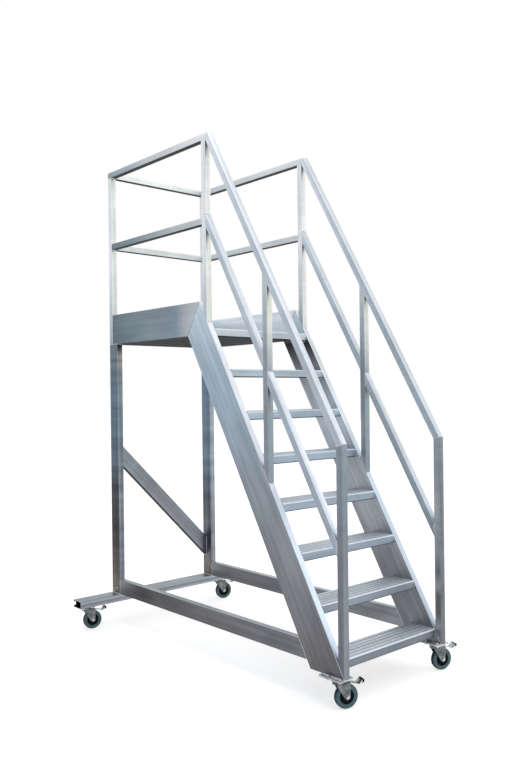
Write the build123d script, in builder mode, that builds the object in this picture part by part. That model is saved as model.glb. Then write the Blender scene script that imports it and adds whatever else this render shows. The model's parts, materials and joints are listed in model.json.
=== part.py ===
from build123d import *
from math import cos, radians, sin, tan
import os

# Mobile platform stairs in welded aluminium profiles, in millimetres.
# X runs across the stairs, Y is the way a person climbs, Z is up and 0 is the floor.
# The origin is half way between the ends of the rear beam, and between its rear face and the stringers' toes.

# Main sizes of the frame
frame_width = 850.0
profile_thickness = 40.0
profile_wall = 2.5
board_width = 205.0
leg_depth = 100.0
base_rail_height = 100.0
stair_angle = 60.0
platform_reach = 1047.0
edge_break = 1.5

# Steps and platform
tread_count = 7
first_tread_lift = 82.0
tread_rise = 249.0
tread_depth = 175.0
tread_skin = 3.0
nose_depth = 34.0
nose_height = 49.0
nose_radius = 9.0
nose_wall = 2.5
nose_flush_drop = 12.0
tread_flange = 30.0
groove_width = 5.0
groove_depth = 1.8
groove_pitch = 33.0
deck_thickness = 38.0
plank_count = 6
plank_wall = 3.0
plank_joint = 4.0
plank_joint_depth = 5.0
plank_groove_count = 4

# Guard rails and handrails
guard_tube = 40.0
guard_wall = 2.0
guard_height = 1172.0
guard_mid_drop = 504.0
mid_post_setback = 540.0
upper_mid_drop = 527.0
lower_mid_drop = 558.0

# Rear beam, which reaches further out on one side, and the brace between the legs
beam_left_reach = 730.0
beam_right_reach = 610.0
beam_depth = 100.0
beam_height = 50.0
beam_wall = 4.0
beam_slot = 24.0
beam_groove_width = 9.0
beam_groove_depth = 1.5
brace_width = 100.0
brace_top_drop = 684.0
brace_angle = 45.0

# Foot plates under the toes of the stringers
foot_plate_thickness = 8.0
foot_plate_ledge = 30.0
foot_plate_length = 151.0
plate_corner = 6.0

# Casters
wheel_diameter = 125.0
tyre_width = 30.0
tyre_depth = 23.0
hub_width = 39.0
hub_boss_radius = 15.0
web_setback = 2.0
axle_diameter = 10.0
running_clearance = 0.05
trail = 41.0
top_plate_length = 105.0
top_plate_breadth = 85.0
top_plate_thickness = 3.0
race_height = 18.0
race_radius = 28.0
bearing_gap = 0.3
kingpin_diameter = 12.0
kingpin_nut_radius = 10.0
kingpin_nut_height = 6.0
crown_radius = 32.0
crown_back = 58.0
crown_clearance = 5.7
fork_gap = 40.0
fork_plate = 3.0
fork_front = -20.0
fork_shoulder = 9.0
fork_foot_radius = 14.0
fork_foot_lead = 20.0
axle_nut_radius = 8.5
axle_nut_height = 5.0
pedal_reach = 135.0
pedal_dip_reach = 107.0
pedal_dip = 13.0
pedal_plate = 4.0
pedal_lift = 20.0
pedal_pad_height = 12.0
pedal_pad_length = 12.0
pedal_width = 44.0
pedal_root_width = 30.0
left_kingpin_reach = 662.0
right_kingpin_reach = 488.0
front_kingpin_setback = 59.0

# Places that follow from these, from the floor up
sides = [("left", -1.0), ("right", 1.0)]
slope = tan(radians(stair_angle))
lean = sin(radians(stair_angle))
axle_height = wheel_diameter / 2
crown_bottom = wheel_diameter + crown_clearance
crown_top = crown_bottom + fork_plate
race_bottom = crown_top + bearing_gap
plate_bottom = race_bottom + race_height
caster_top = plate_bottom + top_plate_thickness
toe_height = caster_top + foot_plate_thickness
base_rail_bottom = caster_top + beam_height
deck_top = toe_height + first_tread_lift + tread_count * tread_rise
leg_top = deck_top - deck_thickness
board_top = leg_top + board_width
guard_top = deck_top + guard_height
guard_mid_top = guard_top - guard_mid_drop

# Places along and across the stairs
toe_reach = platform_reach + (board_top - toe_height) / slope
rear_y = toe_reach / 2
toe_y = rear_y - toe_reach
stairs_x = (beam_left_reach - beam_right_reach) / 2
board_run = board_width / lean
mitre_shift = board_width * tan(radians(stair_angle / 2))
clear_width = frame_width - 2 * profile_thickness
post_inset = (frame_width - guard_tube) / 2
profile_inset = (frame_width - profile_thickness) / 2
guard_mitre_shift = guard_tube * tan(radians(stair_angle / 2))
mid_post_front = toe_y + mid_post_setback
post_run = guard_tube / cos(radians(stair_angle))


def front_edge(z):
    """Y of the stringers' sloping front edge at a height."""
    return toe_y + (z - toe_height) / slope


def front_edge_height(y):
    """Height of the stringers' sloping front edge at a place along Y."""
    return toe_height + (y - toe_y) * slope


def handrail_height(y):
    """Height of the sloping handrail's top face at a place along Y."""
    return front_edge_height(y) + guard_height


def side_outline(points, x, thickness):
    """A block cut to an outline in a plane across X."""
    with BuildPart() as block:
        with BuildSketch(Plane.YZ.offset(x)):
            with BuildLine():
                Polyline(*points, close=True)
            make_face()
        extrude(amount=thickness / 2, both=True)
    return block


def box_profile(origin, along, across, length, width, thickness, wall):
    """A length of box profile with broken edges, width lying along across."""
    with BuildPart() as profile:
        with BuildSketch(Plane(origin=origin, x_dir=across, z_dir=along)):
            outer = Rectangle(width, thickness)
            chamfer(outer.vertices(), edge_break)
            Rectangle(width - 2 * wall, thickness - 2 * wall, mode=Mode.SUBTRACT)
        extrude(amount=length)
    return profile


def cut_profile(profile, points, x, thickness):
    """A profile cut to a side outline, as a saw leaves it."""
    outline = side_outline(points, x, thickness)
    with BuildPart() as piece:
        add(profile.part)
        add(outline.part, mode=Mode.INTERSECT)
    return piece


def save(piece, name):
    """Labels a finished piece and writes it."""
    piece.part.label = name
    export_step(piece.part, f"parts/{name}.step")


os.makedirs("parts", exist_ok=True)

# The handrail and the platform's top rail meet above the stringers' edge at the deck
apex_y = front_edge(deck_top)
guard_post_front = apex_y + guard_mitre_shift

# Stringers: wide profiles down the stairs, mitred into the side boards at the top and cut level at the toe
overrun = 300.0
board_front = front_edge(board_top)
climb = Vector(0, cos(radians(stair_angle)), lean)
down = Vector(0, -cos(radians(stair_angle)), -lean)
square_to_climb = Vector(0, lean, -cos(radians(stair_angle)))
stringer_points = [
    (board_front, board_top),
    (board_front + mitre_shift, leg_top),
    (front_edge(toe_height) + board_run, toe_height),
    (toe_y, toe_height),
]
stringer_length = (board_top - toe_height) / lean + 2 * overrun
for side, sign in sides:
    x = stairs_x + sign * profile_inset
    edge = Vector(x, board_front, board_top)
    start = edge + square_to_climb * (board_width / 2) + climb * overrun
    stringer_stock = box_profile(
        start, down, square_to_climb, stringer_length, board_width, profile_thickness, profile_wall
    )
    stringer = cut_profile(stringer_stock, stringer_points, x, 2 * profile_thickness)
    save(stringer, f"stringer_{side}")

# Side boards of the platform, from the rear guard posts to the mitre
board_rear = rear_y - guard_tube
side_board_points = [
    (board_rear, board_top),
    (board_front, board_top),
    (board_front + mitre_shift, leg_top),
    (board_rear, leg_top),
]
for side, sign in sides:
    x = stairs_x + sign * profile_inset
    start = Vector(x, board_rear, (board_top + leg_top) / 2)
    board_stock = box_profile(
        start,
        (0, -1, 0),
        (0, 0, 1),
        board_rear - board_front + overrun,
        board_width,
        profile_thickness,
        profile_wall,
    )
    side_board = cut_profile(board_stock, side_board_points, x, 2 * profile_thickness)
    save(side_board, f"side_board_{side}")

# Rear board between the rear guard posts
rear_board = box_profile(
    (stairs_x - frame_width / 2 + guard_tube, rear_y - profile_thickness / 2, (board_top + leg_top) / 2),
    (1, 0, 0),
    (0, 0, 1),
    frame_width - 2 * guard_tube,
    board_width,
    profile_thickness,
    profile_wall,
)
save(rear_board, "rear_board")

# Rear legs, from the beam to the underside of the boards
for side, sign in sides:
    leg = box_profile(
        (stairs_x + sign * profile_inset, rear_y - leg_depth / 2, base_rail_bottom),
        (0, 0, 1),
        (0, 1, 0),
        leg_top - base_rail_bottom,
        leg_depth,
        profile_thickness,
        profile_wall,
    )
    save(leg, f"rear_leg_{side}")

# Base rails from the legs to the stringers' rear edges
rail_rear = rear_y - leg_depth
base_rail_top = base_rail_bottom + base_rail_height
base_rail_points = [
    (rail_rear, base_rail_top),
    (front_edge(base_rail_top) + board_run, base_rail_top),
    (front_edge(base_rail_bottom) + board_run, base_rail_bottom),
    (rail_rear, base_rail_bottom),
]
for side, sign in sides:
    x = stairs_x + sign * profile_inset
    start = Vector(x, rail_rear, (base_rail_top + base_rail_bottom) / 2)
    rail_stock = box_profile(
        start, (0, -1, 0), (0, 0, 1), toe_reach, base_rail_height, profile_thickness, profile_wall
    )
    base_rail = cut_profile(rail_stock, base_rail_points, x, 2 * profile_thickness)
    save(base_rail, f"base_rail_{side}")

# Rear beam: a channel with lips, open to the rear, with a shallow groove along its front face
beam_rear = rear_y
beam_length = beam_left_reach + beam_right_reach
with BuildPart() as rear_beam:
    with BuildSketch(Plane.YZ.offset(stairs_x - beam_left_reach)):
        with Locations((beam_rear - beam_depth / 2, base_rail_bottom - beam_height / 2)):
            beam_outer = Rectangle(beam_depth, beam_height)
            chamfer(beam_outer.vertices(), edge_break)
            Rectangle(beam_depth - 2 * beam_wall, beam_height - 2 * beam_wall, mode=Mode.SUBTRACT)
        with Locations((beam_rear - beam_wall / 2, base_rail_bottom - beam_height / 2)):
            Rectangle(2 * beam_wall, beam_slot, mode=Mode.SUBTRACT)
        with Locations((beam_rear - beam_depth + beam_groove_depth / 2, base_rail_bottom - beam_height / 2)):
            Rectangle(beam_groove_depth, beam_groove_width, mode=Mode.SUBTRACT)
    extrude(amount=beam_length)
save(rear_beam, "rear_beam")

# Brace across the rear legs, cut upright at both ends
brace_run = clear_width
brace_fall = brace_run * tan(radians(brace_angle))
brace_upright = brace_width / cos(radians(brace_angle))
brace_left_x = stairs_x - clear_width / 2
brace_right_x = stairs_x + clear_width / 2
brace_direction = Vector(cos(radians(brace_angle)), 0, -sin(radians(brace_angle)))
brace_square = Vector(sin(radians(brace_angle)), 0, cos(radians(brace_angle)))
brace_left_centre = leg_top - brace_top_drop - brace_upright / 2
brace_centre = Vector(brace_left_x, rear_y - profile_thickness / 2, brace_left_centre)
brace_start = brace_centre - brace_direction * brace_width
brace_stock = box_profile(
    brace_start,
    brace_direction,
    brace_square,
    brace_run / cos(radians(brace_angle)) + 2 * brace_width,
    brace_width,
    profile_thickness,
    profile_wall,
)
with BuildPart() as rear_brace:
    add(brace_stock.part)
    with BuildSketch(Plane.YZ.offset(brace_left_x)):
        with Locations((rear_y, brace_left_centre)):
            Rectangle(2 * leg_depth, 2 * brace_fall + 2 * brace_upright)
    extrude(amount=brace_run, mode=Mode.INTERSECT)
save(rear_brace, "rear_brace")

# Guard posts of the platform: the rear pair stands on the legs, the front pair on the stringers
tube_bottom_of_top_rail = guard_top - guard_tube
for side, sign in sides:
    x = stairs_x + sign * post_inset
    rear_post = box_profile(
        (x, rear_y - guard_tube / 2, leg_top),
        (0, 0, 1),
        (0, 1, 0),
        tube_bottom_of_top_rail - leg_top,
        guard_tube,
        guard_tube,
        guard_wall,
    )
    save(rear_post, f"guard_post_rear_{side}")

# Posts on the stair edge: name, front face, height of the top at the front and at the back
mid_post_top = handrail_height(mid_post_front) - post_run
mid_post_top_back = handrail_height(mid_post_front + guard_tube) - post_run
low_post_top = handrail_height(toe_y)
low_post_top_back = handrail_height(toe_y + guard_tube) - post_run
stair_edge_posts = [
    ("guard_post_front", guard_post_front, tube_bottom_of_top_rail, tube_bottom_of_top_rail),
    ("stair_post_mid", mid_post_front, mid_post_top, mid_post_top_back),
    ("stair_post_low", toe_y, low_post_top, low_post_top_back),
]
for side, sign in sides:
    x = stairs_x + sign * post_inset
    for name, post_front, top_front, top_back in stair_edge_posts:
        post_back = post_front + guard_tube
        foot = front_edge_height(post_front)
        post_stock = box_profile(
            (x, post_front + guard_tube / 2, foot),
            (0, 0, 1),
            (0, 1, 0),
            max(top_front, top_back) - foot,
            guard_tube,
            guard_tube,
            guard_wall,
        )
        post_points = [
            (post_front, foot),
            (post_back, front_edge_height(post_back)),
            (post_back, top_back),
            (post_front, top_front),
        ]
        post = cut_profile(post_stock, post_points, x, 2 * guard_tube)
        save(post, f"{name}_{side}")

# Level rails along the platform's sides: the top one mitred into the handrail, the middle one between posts
top_rail_points = [
    (rear_y, guard_top),
    (apex_y, guard_top),
    (guard_post_front, guard_top - guard_tube),
    (rear_y, guard_top - guard_tube),
]
mid_rail_rear = rear_y - guard_tube
mid_rail_front = guard_post_front + guard_tube
for side, sign in sides:
    x = stairs_x + sign * post_inset
    top_stock = box_profile(
        (x, rear_y, guard_top - guard_tube / 2),
        (0, -1, 0),
        (0, 0, 1),
        rear_y - apex_y,
        guard_tube,
        guard_tube,
        guard_wall,
    )
    top_rail = cut_profile(top_stock, top_rail_points, x, 2 * guard_tube)
    save(top_rail, f"top_rail_{side}")
    mid_rail = box_profile(
        (x, mid_rail_rear, guard_mid_top - guard_tube / 2),
        (0, -1, 0),
        (0, 0, 1),
        mid_rail_rear - mid_rail_front,
        guard_tube,
        guard_tube,
        guard_wall,
    )
    save(mid_rail, f"mid_rail_{side}")

# Rails across the rear, between the side rails and between the posts
for name, top in [("top_rail_rear", guard_top), ("mid_rail_rear", guard_mid_top)]:
    rear_rail = box_profile(
        (stairs_x - frame_width / 2 + guard_tube, rear_y - guard_tube / 2, top - guard_tube / 2),
        (1, 0, 0),
        (0, 0, 1),
        frame_width - 2 * guard_tube,
        guard_tube,
        guard_tube,
        guard_wall,
    )
    save(rear_rail, name)

# Sloping tubes beside the stairs: name, drop of the top face below the handrail, upper and lower ends
handrail_points = [
    (apex_y, guard_top),
    (guard_post_front, guard_top - guard_tube),
    (toe_y + guard_tube, low_post_top_back),
    (toe_y, low_post_top),
]


def slope_rail_points(drop, upper, lower):
    """Side outline of a sloping tube that ends square against two upright posts."""
    top_upper = handrail_height(upper) - drop
    top_lower = handrail_height(lower) - drop
    return [
        (upper, top_upper),
        (upper, top_upper - post_run),
        (lower, top_lower - post_run),
        (lower, top_lower),
    ]


upper_points = slope_rail_points(upper_mid_drop, guard_post_front, mid_post_front + guard_tube)
lower_points = slope_rail_points(lower_mid_drop, mid_post_front, toe_y + guard_tube)
slope_rails = [
    ("handrail", 0.0, handrail_points),
    ("slope_rail_upper", upper_mid_drop, upper_points),
    ("slope_rail_lower", lower_mid_drop, lower_points),
]
slope_stock_length = (guard_top - low_post_top) / lean + 2 * overrun
for side, sign in sides:
    x = stairs_x + sign * post_inset
    for name, drop, points in slope_rails:
        top_edge = Vector(x, apex_y, guard_top - drop)
        start = top_edge + square_to_climb * (guard_tube / 2) + climb * overrun
        slope_stock = box_profile(
            start, down, square_to_climb, slope_stock_length, guard_tube, guard_tube, guard_wall
        )
        slope_rail = cut_profile(slope_stock, points, x, 2 * guard_tube)
        save(slope_rail, f"{name}_{side}")

# Treads: a ribbed top with a deep hollow nose at the front and a flange at the back
tread_left = stairs_x - clear_width / 2


def nose_front(top):
    """Y of a nose's front face, level with the stringers' edge a little below its top."""
    return front_edge(top - nose_flush_drop)


def nose_section(front, top):
    """Side section of a hollow nose with round front corners."""
    with BuildSketch() as section:
        with Locations((front + nose_depth / 2, top - nose_height / 2)):
            Rectangle(nose_depth, nose_height)
        fillet(section.vertices().group_by(Axis.X)[0], nose_radius)
    with BuildSketch() as hollow:
        with Locations((front + nose_depth / 2, top - nose_height / 2)):
            Rectangle(nose_depth - 2 * nose_wall, nose_height - 2 * nose_wall)
        chamfer(hollow.vertices().group_by(Axis.X)[0], nose_radius - nose_wall)
    with BuildSketch() as nose:
        add(section.sketch)
        add(hollow.sketch, mode=Mode.SUBTRACT)
    return nose


def groove_places(front, depth, top):
    """Middles of the grooves along a tread's top."""
    count = int((depth - nose_depth / 2) // groove_pitch)
    return [(front + nose_depth / 2 + k * groove_pitch, top - groove_depth / 2) for k in range(count + 1)]


for number in range(1, tread_count + 1):
    top = deck_top - number * tread_rise
    front = nose_front(top)
    nose = nose_section(front, top)
    with BuildPart() as tread:
        with BuildSketch(Plane.YZ.offset(tread_left)):
            add(nose.sketch)
            with Locations((front + (nose_depth + tread_depth) / 2 - nose_wall / 2, top - tread_skin / 2)):
                Rectangle(tread_depth - nose_depth + nose_wall, tread_skin)
            with Locations((front + tread_depth - tread_skin / 2, top - tread_flange / 2)):
                Rectangle(tread_skin, tread_flange)
            with Locations((front + (nose_depth + tread_depth) / 2, top - tread_flange / 2)):
                Rectangle(tread_skin, tread_flange)
            with Locations(*groove_places(front, tread_depth, top)):
                Rectangle(groove_width, groove_depth, mode=Mode.SUBTRACT)
        extrude(amount=clear_width)
    save(tread, f"tread_{number}")

# Platform nosing and the deck of hollow planks behind it
deck_front = nose_front(deck_top)
platform_nose = nose_section(deck_front, deck_top)
with BuildPart() as platform_nosing:
    with BuildSketch(Plane.YZ.offset(tread_left)):
        add(platform_nose.sketch)
    extrude(amount=clear_width)
save(platform_nosing, "platform_nosing")

plank_front = deck_front + nose_depth
plank_rear = rear_y - profile_thickness
plank_width = (plank_rear - plank_front) / plank_count
deck_middle = deck_top - deck_thickness / 2
plank_places = [(plank_front + (k + 0.5) * plank_width, deck_middle) for k in range(plank_count)]
joint_places = [
    (plank_front + (k + 1) * plank_width, z)
    for k in range(plank_count - 1)
    for z in (deck_top - plank_joint_depth / 2, deck_top - deck_thickness + plank_joint_depth / 2)
]
plank_hollow = plank_width - plank_joint - 2 * plank_wall
plank_groove_places = [
    (y + (k - (plank_groove_count - 1) / 2) * groove_pitch, deck_top - groove_depth / 2)
    for y, _ in plank_places
    for k in range(plank_groove_count)
]
with BuildPart() as platform_deck:
    with BuildSketch(Plane.YZ.offset(tread_left)):
        with Locations(((plank_front + plank_rear) / 2, deck_middle)):
            Rectangle(plank_rear - plank_front, deck_thickness)
        with Locations(*plank_places):
            Rectangle(plank_hollow, deck_thickness - 2 * plank_wall, mode=Mode.SUBTRACT)
        with Locations(*joint_places):
            Rectangle(plank_joint, plank_joint_depth, mode=Mode.SUBTRACT)
        with Locations(*plank_groove_places):
            Rectangle(groove_width, groove_depth, mode=Mode.SUBTRACT)
    extrude(amount=clear_width)
save(platform_deck, "platform_deck")

# Foot plates under the toes of the stringers
foot_plate_width = profile_thickness + 2 * foot_plate_ledge
for side, sign in sides:
    with BuildPart() as foot_plate:
        with BuildSketch(Plane.XY.offset(caster_top)):
            with Locations((stairs_x + sign * profile_inset, toe_y + foot_plate_length / 2)):
                plate_outline = Rectangle(foot_plate_width, foot_plate_length)
            chamfer(plate_outline.vertices(), plate_corner)
        extrude(amount=foot_plate_thickness)
    save(foot_plate, f"foot_plate_{side}")

# Casters: name, kingpin X, kingpin Y, top plate's size along X and along Y,
# and turn of the trailing side away from +X towards -Y
front_kingpin_y = toe_y + front_kingpin_setback
rear_kingpin_y = rear_y - beam_depth / 2
across = (top_plate_breadth, top_plate_length)
along = (top_plate_length, top_plate_breadth)
casters = [
    ("front_left", stairs_x - profile_inset, front_kingpin_y, across, 22.0),
    ("front_right", stairs_x + profile_inset, front_kingpin_y, across, 19.0),
    ("rear_left", stairs_x - left_kingpin_reach, rear_kingpin_y, along, 13.0),
    ("rear_right", stairs_x + right_kingpin_reach, rear_kingpin_y, along, 18.0),
]

# Top plates, each with its ball race and a kingpin whose nut holds the fork
kingpin_nut_top = crown_bottom - bearing_gap
kingpin_bottom = kingpin_nut_top - kingpin_nut_height
with BuildPart() as caster_plates:
    for name, x, y, (plate_x, plate_y), turn in casters:
        with BuildSketch(Plane.XY.offset(plate_bottom)):
            with Locations((x, y)):
                top_plate = Rectangle(plate_x, plate_y)
            chamfer(top_plate.vertices(), plate_corner)
        extrude(amount=top_plate_thickness)
        with BuildSketch(Plane.XY.offset(race_bottom)):
            with Locations((x, y)):
                Circle(race_radius)
        extrude(amount=race_height)
        with BuildSketch(Plane.XY.offset(kingpin_nut_top)):
            with Locations((x, y)):
                Circle(kingpin_diameter / 2)
        extrude(amount=race_bottom - kingpin_nut_top)
        with BuildSketch(Plane.XY.offset(kingpin_bottom)):
            with Locations((x, y)):
                RegularPolygon(kingpin_nut_radius, 6)
        extrude(amount=kingpin_nut_height)
save(caster_plates, "caster_plates")

fork_inner = fork_gap / 2
fork_outer = fork_inner + fork_plate
for name, x, y, plate_size, turn in casters:
    # The caster's own planes: X along the trailing side, level and upright
    level = Plane(origin=(x, y, 0), x_dir=(cos(radians(turn)), -sin(radians(turn)), 0), z_dir=(0, 0, 1))
    upright = Plane(origin=level.origin, x_dir=level.x_dir, z_dir=-level.y_dir)

    with BuildPart() as fork:
        # Crown: round under the race and straight behind it, on two cheeks
        with BuildSketch(level.offset(crown_bottom)):
            Circle(crown_radius)
            with Locations((crown_back / 2, 0)):
                Rectangle(crown_back, 2 * fork_outer)
        extrude(amount=fork_plate)
        # Cheeks: slanted in front, almost upright behind, round at the axle
        with BuildSketch(upright):
            with BuildLine():
                Polyline(
                    (fork_front, crown_top),
                    (fork_front, crown_bottom),
                    (trail - fork_foot_lead, axle_height),
                    (trail - fork_foot_radius, axle_height - fork_foot_radius / 2),
                    (trail + fork_foot_radius, axle_height),
                    (crown_back, crown_bottom - fork_shoulder),
                    (crown_back, crown_top),
                    close=True,
                )
            make_face()
            with Locations((trail, axle_height)):
                Circle(fork_foot_radius)
        extrude(amount=fork_outer, both=True)
        with BuildSketch(upright):
            with Locations((0, crown_bottom / 2)):
                Rectangle(2 * wheel_diameter, crown_bottom)
        extrude(amount=fork_inner, both=True, mode=Mode.SUBTRACT)
        # Room for the kingpin
        with BuildSketch(level.offset(crown_bottom)):
            Circle(kingpin_diameter / 2 + running_clearance)
        extrude(amount=fork_plate, mode=Mode.SUBTRACT)
        # Axle with its nuts outside the cheeks
        with BuildSketch(upright):
            with Locations((trail, axle_height)):
                Circle(axle_diameter / 2)
        extrude(amount=fork_outer, both=True)
        for nut_face in (fork_outer, -fork_outer - axle_nut_height):
            with BuildSketch(upright.offset(nut_face)):
                with Locations((trail, axle_height)):
                    RegularPolygon(axle_nut_radius, 6)
            extrude(amount=axle_nut_height)
    save(fork, f"caster_fork_{name}")

    # Brake pedal: a lever that dips away from the crown and ends in a raised pad, wider than its root
    dip_top = crown_top - pedal_dip
    pad_top = dip_top + pedal_lift
    with BuildPart() as pedal:
        with BuildSketch(upright):
            with BuildLine():
                Polyline(
                    (crown_back, crown_top),
                    (pedal_dip_reach, dip_top),
                    (pedal_reach - pedal_pad_length, pad_top),
                    (pedal_reach, pad_top),
                    (pedal_reach, pad_top - pedal_pad_height),
                    (pedal_dip_reach, dip_top - pedal_plate),
                    (crown_back, crown_top - pedal_plate),
                    close=True,
                )
            make_face()
        extrude(amount=pedal_width / 2, both=True)
        with BuildSketch(level.offset(caster_top)):
            with BuildLine():
                Polyline(
                    (crown_back, pedal_root_width / 2),
                    (pedal_dip_reach, pedal_width / 2),
                    (pedal_reach, pedal_width / 2),
                    (pedal_reach, -pedal_width / 2),
                    (pedal_dip_reach, -pedal_width / 2),
                    (crown_back, -pedal_root_width / 2),
                    close=True,
                )
            make_face()
        extrude(amount=-caster_top, mode=Mode.INTERSECT)
    save(pedal, f"brake_pedal_{name}")

    with BuildPart() as wheel:
        with BuildSketch(upright):
            with Locations((trail, axle_height)):
                Circle(wheel_diameter / 2 - tyre_depth)
        extrude(amount=tyre_width / 2 - web_setback, both=True)
        with BuildSketch(upright):
            with Locations((trail, axle_height)):
                Circle(hub_boss_radius)
        extrude(amount=hub_width / 2, both=True)
        with BuildSketch(upright):
            with Locations((trail, axle_height)):
                Circle(axle_diameter / 2 + running_clearance)
        extrude(amount=hub_width / 2, both=True, mode=Mode.SUBTRACT)
    save(wheel, f"caster_wheel_{name}")

    with BuildPart() as tyre:
        with BuildSketch(upright):
            with Locations((trail, axle_height)):
                Circle(wheel_diameter / 2)
                Circle(wheel_diameter / 2 - tyre_depth, mode=Mode.SUBTRACT)
        extrude(amount=tyre_width / 2, both=True)
    save(tyre, f"caster_tyre_{name}")
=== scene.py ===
# %% [markdown]
# # Mobile platform stairs
# Welded aluminium stairs on four braked casters: seven steep steps, a fenced platform and handrails. The
# construction comes in as a fixed frame, already at its real size. This lesson dresses it: mill finished
# profiles, weld beads, bolts and the casters' rubber, nylon and zinc. Everything is in metres, +X to the
# climber's right, +Y the way a person climbs, +Z up, with the floor at zero.

# %% Load the frame
import json
import math

import bpy
from mathutils import Matrix, Vector


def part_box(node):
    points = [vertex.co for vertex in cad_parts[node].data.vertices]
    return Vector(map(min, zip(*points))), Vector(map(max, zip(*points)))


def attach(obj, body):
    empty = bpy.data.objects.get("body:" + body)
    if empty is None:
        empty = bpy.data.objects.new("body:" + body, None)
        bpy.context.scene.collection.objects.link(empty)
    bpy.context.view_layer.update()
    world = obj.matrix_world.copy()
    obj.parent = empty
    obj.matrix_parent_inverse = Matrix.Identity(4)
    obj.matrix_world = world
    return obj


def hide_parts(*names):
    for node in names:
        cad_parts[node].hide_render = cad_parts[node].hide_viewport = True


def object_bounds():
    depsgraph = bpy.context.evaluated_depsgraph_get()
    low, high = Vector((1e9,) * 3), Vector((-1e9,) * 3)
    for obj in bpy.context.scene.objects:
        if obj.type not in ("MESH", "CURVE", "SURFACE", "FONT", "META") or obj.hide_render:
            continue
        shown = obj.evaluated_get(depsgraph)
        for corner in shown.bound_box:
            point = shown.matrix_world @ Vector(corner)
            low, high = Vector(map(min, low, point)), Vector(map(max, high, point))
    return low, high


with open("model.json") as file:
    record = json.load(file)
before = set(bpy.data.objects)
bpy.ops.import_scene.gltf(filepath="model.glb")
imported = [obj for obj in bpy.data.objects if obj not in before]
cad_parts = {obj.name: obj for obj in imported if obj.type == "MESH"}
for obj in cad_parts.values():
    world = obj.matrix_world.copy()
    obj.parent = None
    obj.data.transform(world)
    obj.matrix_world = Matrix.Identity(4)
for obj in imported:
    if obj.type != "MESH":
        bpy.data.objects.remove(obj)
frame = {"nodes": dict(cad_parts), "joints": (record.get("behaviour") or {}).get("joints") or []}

cad_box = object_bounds()
print(len(frame["nodes"]), "nodes between", tuple(cad_box[0]), "and", tuple(cad_box[1]))

# %% [markdown]
# ## Camera
# The picture is taken from the front left at eye height, nearly level. The camera is set by where it stands
# and by three angles: how far it turns from the climbing direction, how far it looks up, and how far it
# leans. The picture is taller than wide, so the sensor's longer side stands upright.

# %% Camera
camera_place = Vector((-3.2316, -3.7191, 1.5914))
camera_turn = math.radians(41.337)
camera_rise = math.radians(-0.017)
camera_roll = math.radians(-0.663)
camera_lens = 36.526
camera_shift = 0.013

forward = Vector(
    (
        math.sin(camera_turn) * math.cos(camera_rise),
        math.cos(camera_turn) * math.cos(camera_rise),
        math.sin(camera_rise),
    )
)
level_right = Vector((math.cos(camera_turn), -math.sin(camera_turn), 0.0))
level_up = level_right.cross(forward)
camera_right = level_right * math.cos(camera_roll) + level_up * math.sin(camera_roll)
camera_up = level_up * math.cos(camera_roll) - level_right * math.sin(camera_roll)

camera_data = bpy.data.cameras.new("camera")
camera_data.lens = camera_lens
camera_data.shift_y = camera_shift
camera = bpy.data.objects.new("camera", camera_data)
bpy.context.scene.collection.objects.link(camera)
camera.matrix_world = Matrix.Translation(camera_place) @ Matrix(
    (camera_right, camera_up, -forward)
).transposed().to_4x4()
bpy.context.scene.camera = camera
bpy.context.scene.view_settings.view_transform = "Standard"
print("camera stands", round(camera_place.length, 2), "m from the origin")

# %% [markdown]
# ## Shader maths
# Materials are node trees, and sums in them are easier to read as Python expressions. One small class wraps
# a socket: an operator on it adds a Math node, and `node` adds any other kind, with its settings first and
# then the values or links of its sockets.

# %% Shader maths
class Wire:
    """An output socket of a node tree, which can be used in sums."""

    def __init__(self, tree, socket=None):
        self.tree = tree
        self.socket = socket

    def node(self, kind, settings=None, inputs=None, output=0):
        """Adds a node and gives one of its outputs."""
        new = self.tree.nodes.new(kind)
        for name, value in (settings or {}).items():
            if name == "stops":
                while len(new.color_ramp.elements) < len(value):
                    new.color_ramp.elements.new(0.5)
                for element, (place, colour) in zip(new.color_ramp.elements, value):
                    element.position = place
                    element.color = (*colour, 1.0)
            else:
                setattr(new, name, value)
        for name, value in (inputs or {}).items():
            socket = new.inputs[name]
            if isinstance(value, Wire):
                self.tree.links.new(value.socket, socket)
            elif socket.type == "RGBA" and len(value) == 3:
                socket.default_value = (*value, 1.0)
            else:
                socket.default_value = value
        return Wire(self.tree, new.outputs[output] if new.outputs else None)

    def sum(self, operation, first, second):
        return self.node("ShaderNodeMath", {"operation": operation}, {0: first, 1: second})

    def __add__(self, other):
        return self.sum("ADD", self, other)

    __radd__ = __add__

    def __sub__(self, other):
        return self.sum("SUBTRACT", self, other)

    def __rsub__(self, other):
        return self.sum("SUBTRACT", other, self)

    def __mul__(self, other):
        return self.sum("MULTIPLY", self, other)

    __rmul__ = __mul__

    def step(self, low, high):
        """0 below low, 1 above high, and smooth between them."""
        return self.node(
            "ShaderNodeMapRange",
            {"interpolation_type": "SMOOTHSTEP"},
            {"Value": self, "From Min": low, "From Max": high},
        )

    def blend(self, first, second):
        """A colour between two, this wire being the share of the second."""
        return self.node("ShaderNodeMix", {"data_type": "RGBA"}, {0: self, 6: first, 7: second}, output=2)

    def tint(self, shade):
        """This colour multiplied by another."""
        settings = {"data_type": "RGBA", "blend_type": "MULTIPLY"}
        return self.node("ShaderNodeMix", settings, {0: 1.0, 6: self, 7: shade}, output=2)


def new_surface(name):
    """An empty material and a wire of its tree."""
    material = bpy.data.materials.new(name)
    material.use_nodes = True
    material.node_tree.nodes.clear()
    return material, Wire(material.node_tree)


def finish_surface(wire, shader):
    """Links a shader to the material's output."""
    wire.node("ShaderNodeOutputMaterial", inputs={"Surface": shader})


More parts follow.
